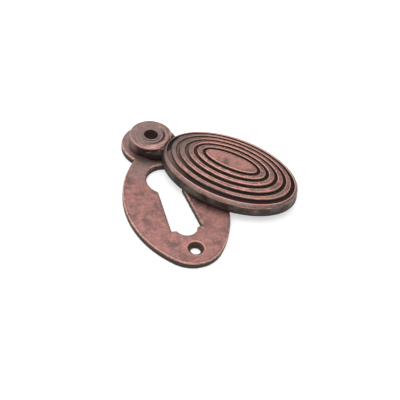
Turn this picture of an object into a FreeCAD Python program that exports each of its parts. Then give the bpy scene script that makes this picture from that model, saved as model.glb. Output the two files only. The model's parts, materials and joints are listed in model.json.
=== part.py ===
import FreeCAD, Part
import math
import os

from FreeCAD import Placement, Rotation, Vector

# Covered keyhole escutcheon: an oval back plate with a reeded oval cover that swings on a hollow rivet.
# The origin is on the pivot axis at the plate's back face. +Z points out of the plate's face,
# and the plate hangs from the pivot along -Y.

# Back plate, in millimetres
plate_width = 32.0
plate_length = 48.8
plate_end_radius = 10.2
plate_thickness = 2.3
plate_drop = 27.35
plate_edge_chamfer = 0.3
ear_radius = 9.45

# Keyhole: the head is set in from the plate's upper end, the foot and its lobe from the lower end
keyhole_head_inset = 13.65
keyhole_head_radius = 6.15
keyhole_throat_width = 7.3
keyhole_foot_width = 9.85
keyhole_foot_inset = 13.85
keyhole_lobe_inset = 14.65
keyhole_lobe_radius = 3.4
keyhole_chamfer = 0.35

# Lower fixing hole, set in from the plate's lower end
screw_inset = 5.85
screw_hole_radius = 1.6
countersink_radius = 2.6
countersink_half_angle = 45.0

# Hollow rivet that holds the cover and takes the upper fixing screw
rivet_bore_radius = 2.25
rivet_wall = 0.5
rivet_lip_overhang = 0.25
rivet_lip_height = 0.12
rivet_foot_overhang = 0.9
rivet_foot_depth = 0.7
rivet_bore_chamfer = 0.15

# Clearances between the plate, the rivet and the cover
cover_gap = 0.15
rivet_running_clearance = 0.06
rivet_end_float = 0.05

# Cover: its outline, rim and dome
cover_width = 29.4
cover_length = 45.6
cover_drop = 28.6
cover_rim_height = 3.55
cover_dome_rise = 3.45
cover_wall_draft = 0.3
cover_edge_chamfer = 0.35
cover_swing = 44.6

# Cover: the raised centre and the reeds round it
centre_width = 6.0
centre_length = 17.65
reed_count = 4
rim_side_land = 1.4
rim_end_land = 1.1
rim_groove_width = 1.4
groove_width = 1.15
groove_depth = 0.95
reed_round = 0.25

# Cover: the hollow under the dome
hollow_margin = 3.6
hollow_depth = 3.0
hollow_draft = 3.0

# Cover: the boss on the pivot and the neck that joins it to the dome
boss_radius = 7.0
boss_height = 3.9
boss_edge_chamfer = 0.3
neck_top_radius = 5.55
neck_foot_back = 4.9
neck_foot_height = 2.1
neck_overlap = 3.1
neck_rise = 0.4
shoulder_drop = 5.3
shoulder_angle = 34.0
spot_face_radius = 4.65

# Extra length of a cutting tool past the face that it opens
overrun = 1.0

plate_foot_drop = plate_drop + plate_length / 2
keyhole_head_drop = plate_drop - plate_length / 2 + keyhole_head_inset
keyhole_foot_drop = plate_foot_drop - keyhole_foot_inset
cover_base = plate_thickness + cover_gap
rivet_radius = rivet_bore_radius + rivet_wall
rivet_head_z = cover_base + boss_height + rivet_end_float
neck_reach = cover_drop - cover_length / 2 + neck_overlap
neck_foot_radius = (neck_reach + neck_foot_back) / 2
UP = Vector(0, 0, 1)


def four_arc_oval(width, length, end_radius):
    """Oval face about the origin, made of two end arcs and two tangent side arcs."""
    half_width = width / 2
    end_centre = length / 2 - end_radius
    side_radius = (end_centre ** 2 + half_width ** 2 - end_radius ** 2) / (2 * (half_width - end_radius))
    side_centre = half_width - side_radius
    tangent = math.atan2(end_centre, -side_centre)
    tangent_x = side_centre + side_radius * math.cos(tangent)
    tangent_y = side_radius * math.sin(tangent)
    corners = [
        Vector(tangent_x, -tangent_y, 0),
        Vector(tangent_x, tangent_y, 0),
        Vector(-tangent_x, tangent_y, 0),
        Vector(-tangent_x, -tangent_y, 0),
    ]
    crowns = [
        Vector(half_width, 0, 0),
        Vector(0, length / 2, 0),
        Vector(-half_width, 0, 0),
        Vector(0, -length / 2, 0),
    ]
    arcs = [Part.Arc(corners[i], crowns[i], corners[(i + 1) % 4]).toShape() for i in range(4)]
    return Part.Face(Part.Wire(arcs))


def edges_at(shape, height):
    """Edges that lie wholly in the level plane at this height."""
    found = []
    for edge in shape.Edges:
        box = edge.BoundBox
        if abs(box.ZMin - height) < 1e-4 and abs(box.ZMax - height) < 1e-4:
            found.append(edge)
    return found


def chamfered_slab(face, thickness, chamfer):
    """Slab on the ground plane with its top edge broken all round."""
    slab = face.extrude(UP * thickness)
    return slab.makeChamfer(chamfer, edges_at(slab, thickness))


def keyhole_slot():
    """Tapering part of the keyhole, from the head's centre down to its foot."""
    corners = [
        Vector(-keyhole_throat_width / 2, -keyhole_head_drop, 0),
        Vector(-keyhole_foot_width / 2, -keyhole_foot_drop, 0),
        Vector(keyhole_foot_width / 2, -keyhole_foot_drop, 0),
        Vector(keyhole_throat_width / 2, -keyhole_head_drop, 0),
    ]
    return Part.Face(Part.makePolygon(corners + corners[:1]))


def disc(radius, drop):
    """Round face on the plate's centre line."""
    return Part.Face(Part.Wire(Part.makeCircle(radius, Vector(0, -drop, 0))))


def keyhole_cutter():
    """Head, slot and lobe as one solid that runs past both faces of the plate."""
    parts = [keyhole_slot(), disc(keyhole_lobe_radius, plate_foot_drop - keyhole_lobe_inset)]
    outline = disc(keyhole_head_radius, keyhole_head_drop).multiFuse(parts).removeSplitter()
    outline.translate(Vector(0, 0, -overrun))
    return outline.extrude(UP * (plate_thickness + 2 * overrun))


def countersunk_cutter():
    """Screw hole with a cone at the face for a flat-headed screw."""
    slope = math.tan(math.radians(countersink_half_angle))
    depth = (countersink_radius - screw_hole_radius) / slope
    cone = Part.makeCone(
        screw_hole_radius,
        countersink_radius + overrun * slope,
        depth + overrun,
        Vector(0, 0, plate_thickness - depth),
    )
    hole = Part.makeCylinder(screw_hole_radius, plate_thickness + 2 * overrun, Vector(0, 0, -overrun))
    cutter = hole.fuse(cone)
    cutter.translate(Vector(0, screw_inset - plate_foot_drop, 0))
    return cutter


def rivet_seat_cutter():
    """Hole in the ear that the rivet's shank fills, with a cone at the back for its foot."""
    shank = Part.makeCylinder(rivet_radius, plate_thickness + overrun)
    foot = Part.makeCone(rivet_radius + rivet_foot_overhang, rivet_radius, rivet_foot_depth)
    return shank.fuse(foot)


def back_plate():
    """Oval plate with a round ear at the pivot, its keyhole and its two holes."""
    oval = four_arc_oval(plate_width, plate_length, plate_end_radius)
    oval.translate(Vector(0, -plate_drop, 0))
    plate = chamfered_slab(oval, plate_thickness, plate_edge_chamfer)
    plate = plate.fuse(chamfered_slab(disc(ear_radius, 0), plate_thickness, plate_edge_chamfer))
    outer_edges = edges_at(plate, plate_thickness)
    plate = plate.cut(keyhole_cutter())
    known = [edge.CenterOfMass for edge in outer_edges]
    keyhole_edges = []
    for edge in edges_at(plate, plate_thickness):
        if all(edge.CenterOfMass.distanceToPoint(point) > 1e-3 for point in known):
            keyhole_edges.append(edge)
    plate = plate.makeChamfer(keyhole_chamfer, keyhole_edges)
    plate = plate.cut(countersunk_cutter()).cut(rivet_seat_cutter())
    return plate.removeSplitter()


def pivot_rivet():
    """Hollow rivet: a foot sunk in the plate's back, a shank and a lip rolled over the boss."""
    lip_radius = rivet_radius + rivet_lip_overhang
    top = rivet_head_z + rivet_lip_height
    corners = [
        Vector(rivet_bore_radius, 0, 0),
        Vector(rivet_radius + rivet_foot_overhang, 0, 0),
        Vector(rivet_radius, 0, rivet_foot_depth),
        Vector(rivet_radius, 0, rivet_head_z),
        Vector(lip_radius, 0, rivet_head_z),
        Vector(lip_radius - rivet_lip_height, 0, top),
        Vector(rivet_bore_radius + rivet_bore_chamfer, 0, top),
        Vector(rivet_bore_radius, 0, top - rivet_bore_chamfer),
    ]
    profile = Part.Face(Part.makePolygon(corners + corners[:1]))
    return profile.revolve(Vector(0, 0, 0), UP, 360)


def cover_ellipse(half_width, half_length, height):
    """Level ellipse round the cover's middle, long along the plate when the cover is shut."""
    curve = Part.Ellipse(Vector(0, -cover_drop, height), half_length, half_width)
    curve.AngleXU = math.pi / 2
    return Part.Wire(curve.toShape())


def dome_height(half_width):
    """Height of the dome's crest line above the plate's back, at this distance from the long axis."""
    edge = cover_width / 2
    radius = (edge ** 2 + cover_dome_rise ** 2) / (2 * cover_dome_rise)
    sag = radius - math.sqrt(radius ** 2 - half_width ** 2)
    return cover_base + cover_rim_height + cover_dome_rise - sag


def groove_ellipse(groove, offset, drop):
    """Ellipse beside a groove's middle, the innermost groove being 0, and so far under the dome's crest line."""
    edges = (rim_groove_width + groove_width) / 2
    width_pitch = ((cover_width - centre_width) / 2 - rim_side_land - edges) / reed_count
    length_pitch = ((cover_length - centre_length) / 2 - rim_end_land - edges) / reed_count
    beside = groove_width / 2 + offset
    half_width = centre_width / 2 + groove * width_pitch + beside
    half_length = centre_length / 2 + groove * length_pitch + beside
    return cover_ellipse(half_width, half_length, dome_height(half_width) - drop)


def reed_ellipses():
    """Ellipses of the grooved face in order, from the rim in to the flat of the raised centre."""
    rounding = reed_round / 2
    ellipses = []
    for groove in range(reed_count, -1, -1):
        edge = (rim_groove_width if groove == reed_count else groove_width) / 2
        ellipses += [
            groove_ellipse(groove, edge + rounding, 0),
            groove_ellipse(groove, edge, rounding),
            groove_ellipse(groove, edge - rounding, groove_depth),
            groove_ellipse(groove, rounding - edge, groove_depth),
            groove_ellipse(groove, -edge, rounding),
            groove_ellipse(groove, -edge - rounding, 0),
        ]
    return ellipses


def cover_dome():
    """Oval body of the cover, drafted at its wall and stepped by the reeds on its face."""
    half_width = cover_width / 2
    half_length = cover_length / 2
    rim_top = cover_base + cover_rim_height
    wires = [
        cover_ellipse(half_width + cover_wall_draft, half_length + cover_wall_draft, cover_base),
        cover_ellipse(half_width, half_length, rim_top - cover_edge_chamfer),
        cover_ellipse(half_width - cover_edge_chamfer, half_length - cover_edge_chamfer, rim_top),
    ]
    return Part.makeLoft(wires + reed_ellipses(), True, True)


def cover_hollow():
    """Space under the dome that keeps the casting's wall even."""
    half_width = cover_width / 2 - hollow_margin
    half_length = cover_length / 2 - hollow_margin
    wires = [
        cover_ellipse(half_width + hollow_draft / hollow_depth * overrun,
                      half_length + hollow_draft / hollow_depth * overrun, cover_base - overrun),
        cover_ellipse(half_width - hollow_draft, half_length - hollow_draft, cover_base + hollow_depth),
    ]
    return Part.makeLoft(wires, True, True)


def tilted_box(origin, angle):
    """Large block above a plane through this point, the plane falling towards the dome by this angle."""
    reach = cover_length
    block = Part.makeBox(2 * reach, 2 * reach, reach, Vector(-reach, -reach, 0))
    block.Placement = Placement(origin, Rotation(Vector(1, 0, 0), angle))
    return block


def cover_boss():
    """Round boss on the pivot, shouldered on the dome's side, with a neck that flares out of it."""
    boss = Part.makeCylinder(boss_radius, boss_height)
    boss = boss.makeChamfer(boss_edge_chamfer, edges_at(boss, boss_height))
    boss = boss.cut(tilted_box(Vector(0, -shoulder_drop, boss_height), shoulder_angle))
    foot = Vector(0, neck_foot_radius - neck_reach, 0)
    neck_base = Part.makeCylinder(neck_foot_radius, neck_foot_height, foot)
    rings = [
        Part.Wire(Part.makeCircle(neck_foot_radius, foot + UP * neck_foot_height)),
        Part.Wire(Part.makeCircle(neck_top_radius, UP * (boss_height + neck_rise))),
    ]
    neck = neck_base.fuse(Part.makeLoft(rings, True, True))
    rise_angle = math.degrees(math.atan(neck_rise / neck_top_radius))
    neck = neck.cut(tilted_box(UP * boss_height, -rise_angle))
    body = boss.fuse(neck)
    body.translate(UP * cover_base)
    return body


def swing_cover():
    """Cast cover, turned about the pivot from shut to the open position."""
    cover = cover_dome().cut(cover_hollow()).fuse(cover_boss())
    face = UP * (cover_base + boss_height)
    cover = cover.cut(Part.makeCylinder(spot_face_radius, cover_dome_rise + overrun, face))
    bore = Part.makeCylinder(
        rivet_radius + rivet_running_clearance,
        boss_height + 2 * overrun,
        UP * (cover_base - overrun),
    )
    cover = cover.cut(bore).removeSplitter()
    cover.Placement = Placement(Vector(0, 0, 0), Rotation(UP, cover_swing))
    return cover


def single_solid(shape):
    """The one solid that a sub-part is made of."""
    if len(shape.Solids) != 1 or not shape.isValid():
        raise ValueError("a sub-part is not one valid solid")
    return shape.Solids[0]


def main():
    os.makedirs("parts", exist_ok=True)
    nodes = {
        "back_plate": back_plate(),
        "pivot_rivet": pivot_rivet(),
        "swing_cover": swing_cover(),
    }
    for name, shape in nodes.items():
        single_solid(shape).exportStep("parts/" + name + ".step")


main()
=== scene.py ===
import json
import math
from types import SimpleNamespace

import bmesh
import bpy
import numpy as np
from mathutils import Matrix, Vector, noise


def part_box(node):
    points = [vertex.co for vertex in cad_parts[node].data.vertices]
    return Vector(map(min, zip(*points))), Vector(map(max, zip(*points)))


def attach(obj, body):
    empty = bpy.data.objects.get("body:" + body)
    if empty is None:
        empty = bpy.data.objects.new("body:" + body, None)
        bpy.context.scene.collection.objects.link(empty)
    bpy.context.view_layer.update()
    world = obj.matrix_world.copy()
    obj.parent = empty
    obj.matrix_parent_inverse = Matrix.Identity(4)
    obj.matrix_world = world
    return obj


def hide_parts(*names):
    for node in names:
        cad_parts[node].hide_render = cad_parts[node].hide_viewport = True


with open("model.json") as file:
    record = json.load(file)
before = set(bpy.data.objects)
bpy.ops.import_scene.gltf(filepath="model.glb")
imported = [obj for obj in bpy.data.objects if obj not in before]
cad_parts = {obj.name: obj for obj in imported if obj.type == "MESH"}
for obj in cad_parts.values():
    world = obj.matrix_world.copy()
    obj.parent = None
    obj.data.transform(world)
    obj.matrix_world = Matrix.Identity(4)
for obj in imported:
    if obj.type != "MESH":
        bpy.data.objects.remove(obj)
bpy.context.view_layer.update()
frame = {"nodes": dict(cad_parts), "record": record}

# Lengths are in millimetres unless a comment says that they are in metres
MM = 0.001

# Camera: it looks down on the open cover, and its picture is turned a little about the line of sight
CAMERA_AZIMUTH = math.radians(-25.98)
CAMERA_ELEVATION = math.radians(46.63)
CAMERA_ROLL = math.radians(8.85)
CAMERA_DISTANCE = 250
CAMERA_NEAREST = 10
CAMERA_TARGET = Vector((8.54, -26.05, 0))
SENSOR_WIDTH = 36.0
PICTURE_WIDTH = 400
FOCAL_PIXELS = 793.13

# Light: the strength of the even world and of the floor's own white, and the soft boxes.
# The boxes' places and sizes are in metres, and their powers in watts
WORLD_STRENGTH = 0.45
FLOOR_GLOW = 0.52
SOFT_BOX = {"place": (-0.02, 0.05, 0.55), "size": 0.8, "power": 1.9}
SIDE_BOX = {"place": (-0.45, 0.25, 0.22), "size": 0.4, "power": 0.35}

# Floor: its half width in metres, how far it lies under the part, and its colour
FLOOR_REACH = 20.0
FLOOR_DROP = 0.02
FLOOR_COLOUR = "#f2f2f2"

# Cast pieces: the weld that joins the solid's facets, the facet size that they are remade with,
# and the most triangles that a piece may keep
WELD = 0.0005
CASTING_GRAIN = 0.15
RIVET_GRAIN = 0.08
MOST_TRIANGLES = 190000

# Relief: how far a surface is relaxed to soften it, to find its edges and to find its recesses,
# and the height off the relaxed surface that counts as a full edge or a full recess
SOFTEN_REACH = 0.12
EDGE_REACH = 0.22
RECESS_REACH = 0.75
EDGE_FULL = 0.047
RECESS_FULL = 0.2
RELAX_SHARE = 0.5

# Unevenness of the cast faces: its wave lengths and heights, and the upward slope where it starts
WAVE_LENGTHS = (6.0, 1.7)
WAVE_HEIGHTS = (0.035, 0.012)
WAVE_SLOPE = 0.75


def relax(points, links, reach, spacing):
    """Points drawn towards their neighbours until each stands for the surface within this reach."""
    rounds = max(1, round(2 * reach ** 2 / (RELAX_SHARE * spacing ** 2)))
    ends = np.concatenate([links[:, 0], links[:, 1]])
    others = np.concatenate([links[:, 1], links[:, 0]])
    count = np.bincount(ends, minlength=len(points))[:, None]
    for _ in range(rounds):
        total = np.stack([np.bincount(ends, points[others, i], len(points)) for i in range(3)], axis=1)
        points = points + RELAX_SHARE * (total / count - points)
    return points


def read(mesh):
    """Points, edges and normals of a mesh as arrays."""
    points = np.empty(len(mesh.vertices) * 3)
    mesh.vertices.foreach_get("co", points)
    links = np.empty(len(mesh.edges) * 2, dtype=np.int32)
    mesh.edges.foreach_get("vertices", links)
    normals = np.empty(len(mesh.vertices) * 3)
    mesh.vertex_normals.foreach_get("vector", normals)
    return points.reshape(-1, 3), links.reshape(-1, 2), normals.reshape(-1, 3)


def modified(mesh, kind, **settings):
    """New mesh that this modifier makes of the mesh."""
    holder = bpy.data.objects.new("holder", mesh)
    bpy.context.scene.collection.objects.link(holder)
    modifier = holder.modifiers.new(kind, kind)
    for name, value in settings.items():
        setattr(modifier, name, value)
    graph = bpy.context.evaluated_depsgraph_get()
    made = bpy.data.meshes.new_from_object(holder.evaluated_get(graph))
    bpy.data.objects.remove(holder)
    return made


def welded(node):
    """The node's solid in millimetres, with its facets joined."""
    mesh = frame["nodes"][node].data.copy()
    mesh.transform(Matrix.Scale(1 / MM, 4))
    shell = bmesh.new()
    shell.from_mesh(mesh)
    bmesh.ops.remove_doubles(shell, verts=shell.verts, dist=WELD)
    shell.to_mesh(mesh)
    shell.free()
    return mesh


def wave(point):
    """Height of the cast unevenness at a point."""
    return sum(h * noise.noise(point / w) for w, h in zip(WAVE_LENGTHS, WAVE_HEIGHTS))


def uneven(points, normals):
    """Points of faces that look up, moved by the cast unevenness."""
    lift = np.clip((normals[:, 2] - WAVE_SLOPE) / (1 - WAVE_SLOPE), 0, 1)
    rise = np.array([wave(Vector(p)) if f > 0 else 0.0 for p, f in zip(points, lift)]) * lift
    return points + normals * rise[:, None]


def relief(points, links, normals, grain):
    """How much each point stands out as an edge, and how much it lies back in a recess, from -1 to 1."""
    out = points - relax(points, links, EDGE_REACH, grain)
    back = relax(points, links, RECESS_REACH, grain) - points
    edge = np.sum(out * normals, axis=1) / EDGE_FULL
    recess = np.sum(back * normals, axis=1) / RECESS_FULL
    return {"edge": np.clip(edge, -1, 1), "recess": np.clip(recess, -1, 1)}


def softened(node, grain):
    """The node's solid with the soft edges and uneven faces of a worn casting, within the node's box.

    Its relief goes along as the attributes edge and recess.
    """
    mesh = modified(welded(node), "REMESH", mode="VOXEL", voxel_size=grain)
    points, links, _ = read(mesh)
    points = relax(points, links, SOFTEN_REACH, grain)
    mesh.vertices.foreach_set("co", points.ravel())
    mesh.update()
    normals = read(mesh)[2]
    mesh.vertices.foreach_set("co", uneven(points, normals).ravel())
    for name, values in relief(points, links, normals, grain).items():
        mesh.attributes.new(name, "FLOAT", "POINT").data.foreach_set("value", values)
    triangles = 2 * len(mesh.polygons)
    if triangles > MOST_TRIANGLES:
        mesh = modified(mesh, "DECIMATE", ratio=MOST_TRIANGLES / triangles)
    low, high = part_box(node)
    points = np.clip(read(mesh)[0] * MM, np.array(low), np.array(high))
    mesh.vertices.foreach_set("co", points.ravel())
    mesh.shade_smooth()
    return mesh


def piece(name, node, body, grain, material):
    """Worn piece that stands for a node of the frame."""
    mesh = softened(node, grain)
    mesh.materials.clear()
    mesh.materials.append(material)
    made = bpy.data.objects.new(name, mesh)
    bpy.context.scene.collection.objects.link(made)
    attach(made, body)
    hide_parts(node)


def linear(code):
    """Linear colour of an sRGB hex code."""
    values = [int(code[i:i + 2], 16) / 255 for i in (1, 3, 5)]
    return [v / 12.92 if v <= 0.04045 else ((v + 0.055) / 1.055) ** 2.4 for v in values] + [1.0]


def add(tree, kind, give, inputs=None, **settings):
    """Add a node with its settings and links, and return one of its outputs, or the node if give is None."""
    made = tree.nodes.new("ShaderNode" + kind)
    for name, value in settings.items():
        setattr(made, name, value)
    for name, value in (inputs or {}).items():
        if isinstance(value, bpy.types.NodeSocket):
            tree.links.new(value, made.inputs[name])
        else:
            made.inputs[name].default_value = value
    return made.outputs[give] if give is not None else made


def blank_material(name):
    """Material whose node tree is empty."""
    material = bpy.data.materials.new(name)
    material.use_nodes = True
    material.node_tree.nodes.clear()
    return material, material.node_tree


# Settings that many nodes share, and the factor that lays a point flat on the plate's back
SMOOTH = {"interpolation_type": "SMOOTHSTEP"}
PLUS = {"operation": "ADD"}
TIMES = {"operation": "MULTIPLY"}
TIMES_PLUS = {"operation": "MULTIPLY_ADD"}
GREATER = {"operation": "MAXIMUM"}
COLOURS = {"data_type": "RGBA"}
FLAT = (1, 1, 0)

# Copper plate on a casting, blackened with a sulphide patina, rubbed back by hand and lacquered.
# The eye sees pinkish brown faces with soft grey-brown clouds, bare bright copper along the worn edges,
# and near-black matt patina in the grooves and on the walls that no cloth reaches. On the walls the colours
# also hold painted light and shade: darker walls, an olive reflection, a shaded boss and its paler far side.
COPPER_FACE = "#ae7f79"
COPPER_ROSY = "#ce968d"
COPPER_CLOUD = "#806763"
COPPER_HAZE = "#98847f"
COPPER_BARE = "#ebb1a2"
# Wall patina, painted darker as painted shade for the dark reflection in the walls
WALL_PATINA_AND_SHADE = "#382d29"
# Painted reflection of the floor in the cover's wall, as a lighter olive
PAINTED_OLIVE_REFLECTION = "#6f6359"
# Grey veil in the haze, also used as painted light on the boss's far side and in the bore
VEIL_AND_PAINTED_LIGHT = "#9a7c75"
# Deep patina of the recesses, also used as painted shade on the boss's wall and in its crook
DEEP_PATINA_AND_SHADE = "#2c1c18"
PATINA_BACK = "#66504a"

# Patterns: the sizes of their patches, and of the cloth's streaks along and across the rubbing.
# Clouds and mottle are as large as real ones. Real speckle, grit and streaks are less than 0.1 mm wide,
# too fine to show in the render, so they are drawn as coarse as they need to show
CLOUD_SIZE = 5.0
MOTTLE_SIZE = 2.0
SPECKLE_SIZE = 0.5
GRIT_SIZE = 0.22
STREAK_RUN = 3.0
STREAK_BREADTH = 0.35
REED_STREAK_BREADTH = 0.4
CLOUDS = {"Scale": 1 / CLOUD_SIZE, "Detail": 5.0, "Roughness": 0.6}
MOTTLE = {"Scale": 1 / MOTTLE_SIZE, "Detail": 4.0, "Roughness": 0.6}
SPECKLE = {"Scale": 1 / SPECKLE_SIZE, "Detail": 3.0, "Roughness": 0.7}
GRIT = {"Scale": 1 / GRIT_SIZE, "Detail": 2.0}
STREAKS = {"Scale": 1.0, "Detail": 3.0, "Roughness": 0.6}

# Plate: the height of its face and its screw hole are read from the frame, and the countersink is wider
# than the hole by the sink's width on every side
SCREW_HOLE = next(mount for mount in frame["record"]["mounts"] if mount["name"] == "lower_screw_hole")
SINK_WIDTH = 1.0
SINK_RADIUS = SCREW_HOLE["dims"]["r_mm"] + SINK_WIDTH
SINK_PLACE = tuple(Vector(SCREW_HOLE["pos_m"]) / MM * Vector(FLAT))
PLATE_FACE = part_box("back_plate")[1][2] / MM

# Cover at rest: its swing from closed, the distance of its middle from the pivot, its half sizes,
# and the radius of its boss
COVER_SWING = math.radians(44.6)
COVER_DROP = 28.6
COVER_HALF_LENGTH = 22.8
COVER_HALF_WIDTH = 14.7
BOSS_RADIUS = 7.0
TO_COVER = Vector((math.sin(COVER_SWING), -math.cos(COVER_SWING), 0))

# Rings that the cloth followed: round the boss, and along the reeds
BOSS_RINGS = {
    "middle": (0, 0, 0), "turn": 0, "half_length": BOSS_RADIUS, "half_width": BOSS_RADIUS,
    "breadth": STREAK_BREADTH,
}
REED_RINGS = {
    "middle": TO_COVER * COVER_DROP, "turn": COVER_SWING - math.pi / 2, "half_length": COVER_HALF_LENGTH,
    "half_width": COVER_HALF_WIDTH, "breadth": REED_STREAK_BREADTH,
}


def ring_streaks(tree, place, middle, turn, half_length, half_width, breadth):
    """Noise drawn out along oval rings round a middle, which changes within this breadth across them."""
    local = add(tree, "Mapping", 0, {
        "Vector": place, "Location": middle, "Rotation": (0, 0, turn), "Scale": (half_length, half_width, 1),
    }, vector_type="TEXTURE")
    flat = add(tree, "VectorMath", 0, {0: local, 1: FLAT}, **TIMES)
    ring = add(tree, "VectorMath", "Value", {0: flat}, operation="LENGTH")
    bearing = add(tree, "VectorMath", 0, {0: flat}, operation="NORMALIZE")
    across = add(tree, "CombineXYZ", 0, {2: ring})
    across = add(tree, "VectorMath", 0, {0: across, "Scale": half_width / breadth}, operation="SCALE")
    around = add(tree, "VectorMath", 0, {0: bearing, "Scale": half_length / STREAK_RUN}, operation="SCALE")
    spot = add(tree, "VectorMath", 0, {0: around, 1: across}, **PLUS)
    return add(tree, "TexNoise", "Fac", {0: spot, **STREAKS})


def measures(tree, seed):
    """What the finish depends on at each point: its place and slope, its relief and the noises.

    height is over the plate's face, radius from the pivot's axis, and along from the pivot towards the cover.
    """
    here = SimpleNamespace()
    own = add(tree, "TexCoord", "Object")
    here.place = add(tree, "VectorMath", 0, {0: own, "Scale": 1 / MM}, operation="SCALE")
    here.slope = add(tree, "SeparateXYZ", "Z", {0: add(tree, "TexCoord", "Normal")})
    over_back = add(tree, "SeparateXYZ", "Z", {0: here.place})
    here.height = add(tree, "Math", 0, {0: over_back, 1: -PLATE_FACE}, **PLUS)
    flat = add(tree, "VectorMath", 0, {0: here.place, 1: FLAT}, **TIMES)
    here.radius = add(tree, "VectorMath", "Value", {0: flat}, operation="LENGTH")
    here.along = add(tree, "VectorMath", "Value", {0: flat, 1: TO_COVER}, operation="DOT_PRODUCT")
    here.from_screw = add(tree, "VectorMath", "Value", {0: flat, 1: SINK_PLACE}, operation="DISTANCE")
    here.edge = add(tree, "Attribute", "Fac", attribute_name="edge")
    here.recess = add(tree, "Attribute", "Fac", attribute_name="recess")
    moved = add(tree, "VectorMath", 0, {0: here.place, 1: (seed, seed, 0)}, **PLUS)
    here.clouds = add(tree, "TexNoise", "Fac", {0: moved, **CLOUDS})
    here.mottle = add(tree, "TexNoise", "Fac", {0: moved, **MOTTLE})
    here.speckle = add(tree, "TexNoise", "Fac", {0: moved, **SPECKLE})
    here.grit = add(tree, "TexNoise", "Fac", {0: moved, **GRIT})
    return here


# Places with their own finish, by the radius: within the ear, off the rivet, and inside its bore, whose wall
# is painted lighter as painted light
EAR = {"From Min": 9.5, "From Max": 8.5}
OFF_RIVET = {"From Min": 3.2, "From Max": 4.4}
BORE_LIGHT = {"From Min": 3.2, "From Max": 2.6, "To Max": 0.3}

# By the height: clear of the plate, on the dome's crown, and on its outer reeds
RAISED = {"From Min": 0.3, "From Max": 1.7}
CROWN = {"From Min": 5.7, "From Max": 6.8, "To Max": 0.7}
OUTER_REEDS = {"From Min": 5.9, "From Max": 4.1}

# Painted highlight on the boss's far side from the cover by the way along, for the white surroundings that
# its wall reflects, and the lands between the grooves by their recess
FAR_SIDE_LIGHT = {"From Min": -0.5, "From Max": -3.5, "To Max": 0.7}
LANDS = {"From Min": -0.25, "From Max": -0.6, "To Max": 0.16}

# Haze of patina round the pivot, where the parts shield each other from the cloth. The clouds shift its
# border by up to half of the drift either way
HAZE = {"From Min": 22.0, "From Max": 8.0, "To Max": 0.85}
HAZE_DRIFT = 12.0

# Clouds on the rubbed faces: mottle breaks them up, and they lie more on lands
CLOUD_MOTTLE = 0.45
CLOUDED = {"From Min": 0.65, "From Max": 0.95}


def add_regions(tree, here):
    """Add to here how far each point is in the places and the haze that the layers of the finish share."""
    here.ear = add(tree, "MapRange", 0, {"Value": here.radius, **EAR}, **SMOOTH)
    here.off_rivet = add(tree, "MapRange", 0, {"Value": here.radius, **OFF_RIVET}, **SMOOTH)
    here.raised = add(tree, "MapRange", 0, {"Value": here.height, **RAISED}, **SMOOTH)
    here.crown = add(tree, "MapRange", 0, {"Value": here.height, **CROWN}, **SMOOTH)
    here.land = add(tree, "MapRange", 0, {"Value": here.recess, **LANDS}, **SMOOTH)
    # Painted light: the boss's far side, for the light its wall reflects, and the shaded bore are painted
    # paler
    far_side_light = add(tree, "MapRange", 0, {"Value": here.along, **FAR_SIDE_LIGHT}, **SMOOTH)
    far_side_light = add(tree, "Math", 0, {0: far_side_light, 1: here.ear}, **TIMES)
    bore = add(tree, "MapRange", 0, {"Value": here.radius, **BORE_LIGHT})
    here.pale = add(tree, "Math", 0, {0: far_side_light, 1: bore}, **GREATER)

    drift = add(tree, "Math", 0, {0: here.clouds, 1: HAZE_DRIFT, 2: -HAZE_DRIFT / 2}, **TIMES_PLUS)
    reach = add(tree, "Math", 0, {0: here.radius, 1: drift}, **PLUS)
    here.haze = add(tree, "MapRange", 0, {"Value": reach, **HAZE}, **SMOOTH)
    outside = add(tree, "Math", 0, {0: here.ear, 1: -1.0, 2: 1.0}, **TIMES_PLUS)
    here.haze_outside = add(tree, "Math", 0, {0: here.haze, 1: outside}, **TIMES)
    clouded = add(tree, "Math", 0, {0: here.mottle, 1: CLOUD_MOTTLE, 2: here.clouds}, **TIMES_PLUS)
    clouded = add(tree, "Math", 0, {0: clouded, 1: here.land}, **PLUS)
    here.clouded = add(tree, "MapRange", 0, {"Value": clouded, **CLOUDED}, **SMOOTH)


def cloth_streaks(tree, here, rings):
    """Streaks that the cloth left round the boss and, on a piece that has rings, along them."""
    round_boss = ring_streaks(tree, here.place, **BOSS_RINGS)
    elsewhere = ring_streaks(tree, here.place, **rings) if rings else here.speckle
    return add(tree, "Mix", 0, {0: here.ear, 2: elsewhere, 3: round_boss}, data_type="FLOAT")


# Rubbed faces: rosy where the mottle is low, dull where the clouds are high, and a fine tone over both
ROSY = {"From Min": 0.52, "From Max": 0.36, "To Max": 0.55}
DULL = {"From Min": 0.4, "From Max": 0.56, "To Min": 0.1, "To Max": 0.8}
FINE_TONE = {"From Min": 0.75, "From Max": 1.25, "To Min": 0.78, "To Max": 1.22}


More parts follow.
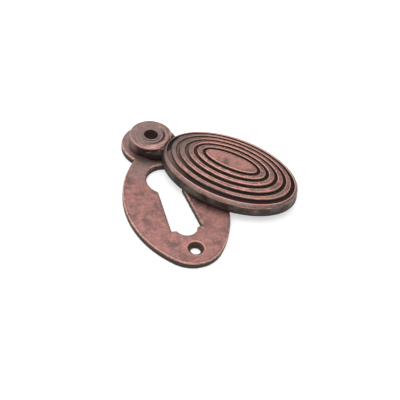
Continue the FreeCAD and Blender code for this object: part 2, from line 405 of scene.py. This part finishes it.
def rubbed_face(tree, here):
    """Colour of the faces that the cloth reaches: rosier on the crown, duller on the outer reeds."""
    rosy = add(tree, "MapRange", 0, {"Value": here.mottle, **ROSY}, **SMOOTH)
    rosy = add(tree, "Math", 0, {0: rosy, 1: here.crown}, **GREATER)
    colour = add(tree, "Mix", 2, {0: rosy, 6: linear(COPPER_FACE), 7: linear(COPPER_ROSY)}, **COLOURS)
    colour = add(tree, "Mix", 2, {0: here.clouded, 6: colour, 7: linear(COPPER_CLOUD)}, **COLOURS)

    outer_reeds = add(tree, "MapRange", 0, {"Value": here.height, **OUTER_REEDS}, **SMOOTH)
    outer_reeds = add(tree, "Math", 0, {0: outer_reeds, 1: here.raised}, **TIMES)
    dull = add(tree, "MapRange", 0, {"Value": here.clouds, **DULL}, **SMOOTH)
    dull = add(tree, "Math", 0, {0: dull, 1: outer_reeds}, **TIMES)
    dull = add(tree, "Math", 0, {0: dull, 1: here.haze}, **GREATER)
    colour = add(tree, "Mix", 2, {0: dull, 6: colour, 7: linear(COPPER_HAZE)}, **COLOURS)

    fine = add(tree, "Math", 0, {0: here.streaks, 1: here.speckle}, **PLUS)
    fine = add(tree, "MapRange", 0, {"Value": fine, **FINE_TONE})
    return add(tree, "VectorMath", 0, {0: colour, "Scale": fine}, operation="SCALE")


# Worn edges: speckle and streaks break them up where the rubbing skipped, and the boss has less of them
SKIP_SPECKLE = 0.5
SKIP_MIDDLE = 0.75
SKIP_STRENGTH = 0.9
WORN_EDGE = {"From Min": 0.25, "From Max": 0.8}
BOSS_EDGE = {"From Min": BOSS_RADIUS + 1.6, "From Max": BOSS_RADIUS + 0.6, "To Min": 1.0, "To Max": 0.8}

# Scuffs: from the spot face to just past the boss's edge, and mostly on the side towards the cover
SCUFFS = {"From Min": 0.46, "From Max": 0.6, "To Max": 0.6}
SCUFFS_START = {"From Min": 4.3, "From Max": 5.2}
SCUFFS_END = {"From Min": BOSS_RADIUS + 1.6, "From Max": BOSS_RADIUS + 0.6}
SCUFFS_SIDE = {"From Min": -2.8, "From Max": 4.2, "To Min": 0.25, "To Max": 1.4}

# Flecks: on the lands, and more of them on the crown
FLECKS = {"From Min": 0.52, "From Max": 0.62, "To Max": 3.0}
FLECKS_LAND = 0.7
FLECKS_CROWN = 1.4

# Loss of wear: on faces that don't look up, and in the haze on the neck and the cover, off the plate.
# The lead brings the cover's start nearer on the side where the neck is
LOOKS_UP = {"From Min": 0.0, "From Max": 0.4}
NECK_LEAD = 0.9
COVER_START = {"From Min": BOSS_RADIUS - 0.1, "From Max": BOSS_RADIUS + 0.7, "To Max": -1.3}
OFF_PLATE = {"From Min": 0.0, "From Max": 0.2}

# Countersink: the bright ring round its mouth and the dark inside
SINK_RING = {"From Min": SINK_RADIUS + 0.45, "From Max": SINK_RADIUS + 0.1, "To Max": 0.7}
SINK_DARK = {"From Min": SINK_RADIUS, "From Max": SINK_RADIUS - 0.3, "To Max": 0.9}


def worn_edges(tree, here):
    """Share of bare copper on the edges, with none on the rivet."""
    skips = add(tree, "Math", 0, {0: here.speckle, 1: SKIP_SPECKLE, 2: here.streaks}, **TIMES_PLUS)
    skips = add(tree, "Math", 0, {0: skips, 1: SKIP_STRENGTH, 2: -SKIP_MIDDLE * SKIP_STRENGTH}, **TIMES_PLUS)
    worn = add(tree, "Math", 0, {0: here.edge, 1: skips}, **PLUS)
    worn = add(tree, "MapRange", 0, {"Value": worn, **WORN_EDGE}, **SMOOTH)
    worn = add(tree, "Math", 0, {0: worn, 1: here.off_rivet}, **TIMES)
    boss = add(tree, "MapRange", 0, {"Value": here.radius, **BOSS_EDGE})
    return add(tree, "Math", 0, {0: worn, 1: boss}, **TIMES)


def boss_scuffs(tree, here):
    """Share of bare copper in the scuffs on the boss."""
    start = add(tree, "MapRange", 0, {"Value": here.radius, **SCUFFS_START}, **SMOOTH)
    end = add(tree, "MapRange", 0, {"Value": here.radius, **SCUFFS_END}, **SMOOTH)
    side = add(tree, "MapRange", 0, {"Value": here.along, **SCUFFS_SIDE})
    band = add(tree, "Math", 0, {0: start, 1: end}, **TIMES)
    band = add(tree, "Math", 0, {0: band, 1: side}, **TIMES)
    scuffs = add(tree, "MapRange", 0, {"Value": here.streaks, **SCUFFS}, **SMOOTH)
    return add(tree, "Math", 0, {0: scuffs, 1: band}, **TIMES)


def land_flecks(tree, here):
    """Share of bare copper in the flecks on the lands."""
    flecks = add(tree, "MapRange", 0, {"Value": here.speckle, **FLECKS}, **SMOOTH)
    flecks = add(tree, "Math", 0, {0: flecks, 1: here.land}, **TIMES)
    amount = add(tree, "Math", 0, {0: here.crown, 1: FLECKS_CROWN, 2: FLECKS_LAND}, **TIMES_PLUS)
    return add(tree, "Math", 0, {0: flecks, 1: amount}, **TIMES)


def bare_copper(tree, here):
    """Share of bare copper that the wear has brought out."""
    worn = add(tree, "Math", 0, {0: worn_edges(tree, here), 1: boss_scuffs(tree, here)}, **GREATER)
    worn = add(tree, "Math", 0, {0: worn, 1: land_flecks(tree, here)}, **GREATER)
    looks_up = add(tree, "MapRange", 0, {"Value": here.slope, **LOOKS_UP}, **SMOOTH)
    worn = add(tree, "Math", 0, {0: worn, 1: looks_up}, **TIMES)

    on_cover = add(tree, "Math", 0, {0: here.along, 1: NECK_LEAD}, **PLUS)
    on_cover = add(tree, "Math", 0, {0: on_cover, 1: here.radius}, **GREATER)
    on_cover = add(tree, "MapRange", 0, {"Value": on_cover, **COVER_START}, **SMOOTH)
    off_plate = add(tree, "MapRange", 0, {"Value": here.height, **OFF_PLATE})
    loss = add(tree, "Math", 0, {0: on_cover, 1: off_plate}, **TIMES)
    kept = add(tree, "Math", 0, {0: here.haze, 1: loss, 2: 1.0}, use_clamp=True, **TIMES_PLUS)
    worn = add(tree, "Math", 0, {0: worn, 1: kept}, **TIMES)
    ring = add(tree, "MapRange", 0, {"Value": here.from_screw, **SINK_RING}, **SMOOTH)
    return add(tree, "Math", 0, {0: worn, 1: ring}, **GREATER)


# Walls: steep faces carry the patina, painted darker than patina alone as painted shade for the dark
# reflection in walls, and less steep ones too where there is haze. A painted reflection of the floor lightens
# the cover's wall to olive clear of the haze, above its foot and broken up by the clouds, groove walls in the
# haze are veiled, and faces that look down are browner
HAZE_CREEP = 0.22
STEEP = {"From Min": 0.62, "From Max": 0.32}
REFLECTION_CLOUDS = {"From Min": 0.38, "From Max": 0.68}
HAZE_HIDES = 1.1
GROOVE_WALLS = {"From Min": 0.0, "From Max": 0.2, "To Max": 0.7}
LOOKS_DOWN = {"From Min": -0.6, "From Max": -0.9}
BACK_CLOUDS = {"From Min": 1.0, "From Max": 0.0, "To Min": 0.25, "To Max": 1.0}


def wall_patina_and_shade_share(tree, here, unworn):
    """Share of the patina on the walls and on the back; on the walls it is also painted shade."""
    steep = add(tree, "Math", 0, {0: here.haze, 1: -HAZE_CREEP, 2: here.slope}, **TIMES_PLUS)
    steep = add(tree, "MapRange", 0, {"Value": steep, **STEEP}, **SMOOTH)
    return add(tree, "Math", 0, {0: steep, 1: unworn}, **TIMES)


def wall_patina_shade_and_light_colour(tree, here):
    """Colour of the patina on the walls and on the back, with a painted olive reflection on the cover's wall,
    painted shade on the boss's wall, and painted light on its far side and in the bore.
    """
    # Painted reflection: the floor's light on the cover's wall, lighter above its foot, broken up by the
    # clouds
    reflection = add(tree, "MapRange", 0, {"Value": here.clouds, **REFLECTION_CLOUDS}, **SMOOTH)
    reflection = add(tree, "Math", 0, {0: reflection, 1: here.raised}, **TIMES)
    clear = add(tree, "Math", 0, {0: here.haze, 1: -HAZE_HIDES, 2: 1.0}, use_clamp=True, **TIMES_PLUS)
    reflection = add(tree, "Math", 0, {0: reflection, 1: clear}, **TIMES)
    colour = add(tree, "Mix", 2, {0: reflection, 6: linear(WALL_PATINA_AND_SHADE), 7: linear(PAINTED_OLIVE_REFLECTION)}, **COLOURS)

    groove = add(tree, "MapRange", 0, {"Value": here.recess, **GROOVE_WALLS})
    groove = add(tree, "Math", 0, {0: groove, 1: here.haze_outside}, **TIMES)
    colour = add(tree, "Mix", 2, {0: groove, 6: colour, 7: linear(VEIL_AND_PAINTED_LIGHT)}, **COLOURS)
    # Painted shade: the boss's wall inside the ear is painted near-black for the shade that falls on it
    boss = add(tree, "Math", 0, {0: here.ear, 1: here.haze}, **TIMES)
    boss = add(tree, "Math", 0, {0: boss, 1: here.off_rivet}, **TIMES)
    colour = add(tree, "Mix", 2, {0: boss, 6: colour, 7: linear(DEEP_PATINA_AND_SHADE)}, **COLOURS)
    # Painted light: the boss's far side and the bore are painted with the paler veil
    colour = add(tree, "Mix", 2, {0: here.pale, 6: colour, 7: linear(VEIL_AND_PAINTED_LIGHT)}, **COLOURS)

    looks_down = add(tree, "MapRange", 0, {"Value": here.slope, **LOOKS_DOWN}, **SMOOTH)
    back = add(tree, "MapRange", 0, {"Value": here.clouded, **BACK_CLOUDS})
    back = add(tree, "Math", 0, {0: back, 1: looks_down}, **TIMES)
    return add(tree, "Mix", 2, {0: back, 6: colour, 7: linear(PATINA_BACK)}, **COLOURS)


# Deep patina: mottled stains in the recesses. Painted shade: the crook of the plate and the boss's wall,
# darkened from the boss's foot to near its top
STAIN_MOTTLE = 0.5
STAIN_HAZE = 0.1
STAINS = {"From Min": 0.33, "From Max": 0.75}
SHADE_CROOK_FOOT = {"From Min": 0.1, "From Max": 0.4, "To Max": 0.85}
SHADE_CROOK_TOP = {"From Min": 3.9, "From Max": 3.4}
SHADE_CROOK_START = {"From Min": BOSS_RADIUS - 1.6, "From Max": BOSS_RADIUS - 0.6}


def deep_patina_and_shade_share(tree, here, unworn):
    """Share of the patina in the recesses and inside the countersink, and of the painted shade in the boss's
    crook.
    """
    stains = add(tree, "Math", 0, {0: here.mottle, 1: STAIN_MOTTLE, 2: here.recess}, **TIMES_PLUS)
    stains = add(tree, "Math", 0, {0: here.haze, 1: STAIN_HAZE, 2: stains}, **TIMES_PLUS)
    stains = add(tree, "MapRange", 0, {"Value": stains, **STAINS}, **SMOOTH)

    # Painted shade in the crook where the boss's wall meets the plate
    foot = add(tree, "MapRange", 0, {"Value": here.height, **SHADE_CROOK_FOOT}, **SMOOTH)
    top = add(tree, "MapRange", 0, {"Value": here.height, **SHADE_CROOK_TOP}, **SMOOTH)
    start = add(tree, "MapRange", 0, {"Value": here.radius, **SHADE_CROOK_START}, **SMOOTH)
    crook_shade = add(tree, "Math", 0, {0: foot, 1: top}, **TIMES)
    crook_shade = add(tree, "Math", 0, {0: crook_shade, 1: here.ear}, **TIMES)
    crook_shade = add(tree, "Math", 0, {0: crook_shade, 1: start}, **TIMES)

    deep_and_shade = add(tree, "Math", 0, {0: stains, 1: crook_shade}, **GREATER)
    deep_and_shade = add(tree, "Math", 0, {0: deep_and_shade, 1: unworn}, **TIMES)
    sink = add(tree, "MapRange", 0, {"Value": here.from_screw, **SINK_DARK})
    return add(tree, "Math", 0, {0: deep_and_shade, 1: sink}, **GREATER)


def deep_patina_shade_and_light_colour(tree, here):
    """Colour of the deep patina and painted shade: veiled in the haze outside the ear, and painted lighter on
    the boss's far side and in the bore.
    """
    veiled = add(tree, "Math", 0, {0: here.haze_outside, 1: here.pale}, **GREATER)
    return add(tree, "Mix", 2, {0: veiled, 6: linear(DEEP_PATINA_AND_SHADE), 7: linear(VEIL_AND_PAINTED_LIGHT)}, **COLOURS)


# Surface: wear takes most of the patina, patina is less metallic and rougher than copper,
# and speckle and grit stand up a little
WEAR_TAKES = 0.9
PATINA_DULLS = 0.7
PATINA_ROUGHENS = 0.2
ROUGHNESS = {"From Min": 0.3, "From Max": 0.7, "To Min": 0.38, "To Max": 0.5}
GRAIN_SPECKLE = 0.6
GRAIN_STRENGTH = 0.4
GRAIN_HEIGHT = 0.05


def aged_copper(name, seed, rings=None):
    """Aged copper finish: its clouds start from this seed, so that no two pieces match."""
    material, tree = blank_material(name)
    here = measures(tree, seed)
    add_regions(tree, here)
    here.streaks = cloth_streaks(tree, here, rings)

    worn = bare_copper(tree, here)
    unworn = add(tree, "Math", 0, {0: worn, 1: -WEAR_TAKES, 2: 1.0}, **TIMES_PLUS)
    # Walls and deep places: patina, with painted light and shade on the walls and in the boss's crook
    wall = wall_patina_and_shade_share(tree, here, unworn)
    deep_and_shade = deep_patina_and_shade_share(tree, here, unworn)
    colour = add(tree, "Mix", 2, {0: worn, 6: rubbed_face(tree, here), 7: linear(COPPER_BARE)}, **COLOURS)
    colour = add(tree, "Mix", 2, {0: wall, 6: colour, 7: wall_patina_shade_and_light_colour(tree, here)}, **COLOURS)
    colour = add(tree, "Mix", 2, {0: deep_and_shade, 6: colour, 7: deep_patina_shade_and_light_colour(tree, here)}, **COLOURS)

    patina = add(tree, "Math", 0, {0: wall, 1: deep_and_shade}, **GREATER)
    metal = add(tree, "Math", 0, {0: patina, 1: -PATINA_DULLS, 2: 1.0}, **TIMES_PLUS)
    rough = add(tree, "MapRange", 0, {"Value": here.speckle, **ROUGHNESS})
    rough = add(tree, "Math", 0, {0: patina, 1: PATINA_ROUGHENS, 2: rough}, **TIMES_PLUS)
    grain = add(tree, "Math", 0, {0: here.speckle, 1: GRAIN_SPECKLE, 2: here.grit}, **TIMES_PLUS)
    bump = add(tree, "Bump", 0, {"Height": grain, "Strength": GRAIN_STRENGTH, "Distance": GRAIN_HEIGHT * MM})
    shader = add(tree, "BsdfPrincipled", 0, {
        "Base Color": colour, "Metallic": metal, "Roughness": rough, "Normal": bump,
    })
    add(tree, "OutputMaterial", None, {"Surface": shader})
    return material


def white_floor():
    """Matt white that keeps the shadow, and glows only for the camera and in reflections."""
    material, tree = blank_material("white_floor")
    rays = add(tree, "LightPath", None).outputs
    seen = add(tree, "Math", 0, {0: rays["Is Camera Ray"], 1: rays["Is Glossy Ray"]}, **GREATER)
    seen = add(tree, "Math", 0, {0: seen, 1: rays["Is Transmission Ray"]}, **GREATER)
    strength = add(tree, "Math", 0, {0: seen, 1: FLOOR_GLOW}, **TIMES)
    glow = add(tree, "Emission", 0, {"Strength": strength})
    matt = add(tree, "BsdfDiffuse", 0, {"Color": linear(FLOOR_COLOUR)})
    add(tree, "OutputMaterial", None, {"Surface": add(tree, "AddShader", 0, {0: glow, 1: matt})})
    return material


def floor():
    """Studio floor under the part."""
    mesh = bpy.data.meshes.new("floor")
    corners = [(x * FLOOR_REACH, y * FLOOR_REACH, 0) for x, y in ((-1, -1), (1, -1), (1, 1), (-1, 1))]
    mesh.from_pydata(corners, [], [(0, 1, 2, 3)])
    mesh.materials.append(white_floor())
    made = bpy.data.objects.new("floor", mesh)
    made.location.z = -FLOOR_DROP * MM
    bpy.context.scene.collection.objects.link(made)


def lamp(name, place, size, power):
    """Square soft box that is aimed at the part."""
    data = bpy.data.lights.new(name, "AREA")
    data.size = size
    data.energy = power
    made = bpy.data.objects.new(name, data)
    made.location = place
    made.rotation_euler = (Vector(place) - CAMERA_TARGET * MM).to_track_quat("Z", "Y").to_euler()
    bpy.context.scene.collection.objects.link(made)


def studio():
    """Even world light, with a large soft box overhead and a weak one at the left."""
    world = bpy.data.worlds.new("studio")
    world.use_nodes = True
    background = world.node_tree.nodes["Background"]
    background.inputs["Color"].default_value = (1, 1, 1, 1)
    background.inputs["Strength"].default_value = WORLD_STRENGTH
    bpy.context.scene.world = world
    lamp("soft_box", **SOFT_BOX)
    lamp("side_box", **SIDE_BOX)
    bpy.context.scene.view_settings.view_transform = "Standard"


def camera():
    """Camera at the photograph's view."""
    sin_a, cos_a = math.sin(CAMERA_AZIMUTH), math.cos(CAMERA_AZIMUTH)
    sin_e, cos_e = math.sin(CAMERA_ELEVATION), math.cos(CAMERA_ELEVATION)
    back = Vector((sin_a * cos_e, -cos_a * cos_e, sin_e))
    right = Vector((0, 0, 1)).cross(back).normalized()
    up = back.cross(right)
    tilted_right = math.cos(CAMERA_ROLL) * right + math.sin(CAMERA_ROLL) * up
    tilted_up = back.cross(tilted_right)
    data = bpy.data.cameras.new("camera")
    data.sensor_width = SENSOR_WIDTH
    data.lens = FOCAL_PIXELS / PICTURE_WIDTH * SENSOR_WIDTH
    data.clip_start = CAMERA_NEAREST * MM
    made = bpy.data.objects.new("camera", data)
    turn = Matrix((tilted_right, tilted_up, back)).transposed().to_4x4()
    made.matrix_world = Matrix.Translation((CAMERA_TARGET + back * CAMERA_DISTANCE) * MM) @ turn
    bpy.context.scene.collection.objects.link(made)
    bpy.context.scene.camera = made


plate_finish = aged_copper("aged_copper_plate", 0.0)
rivet_finish = aged_copper("aged_copper_rivet", 20.0)
cover_finish = aged_copper("aged_copper_cover", 63.0, REED_RINGS)
piece("back_plate_worn", "back_plate", "plate", CASTING_GRAIN, plate_finish)
piece("pivot_rivet_worn", "pivot_rivet", "plate", RIVET_GRAIN, rivet_finish)
piece("swing_cover_worn", "swing_cover", "cover", CASTING_GRAIN, cover_finish)
floor()
studio()
camera()
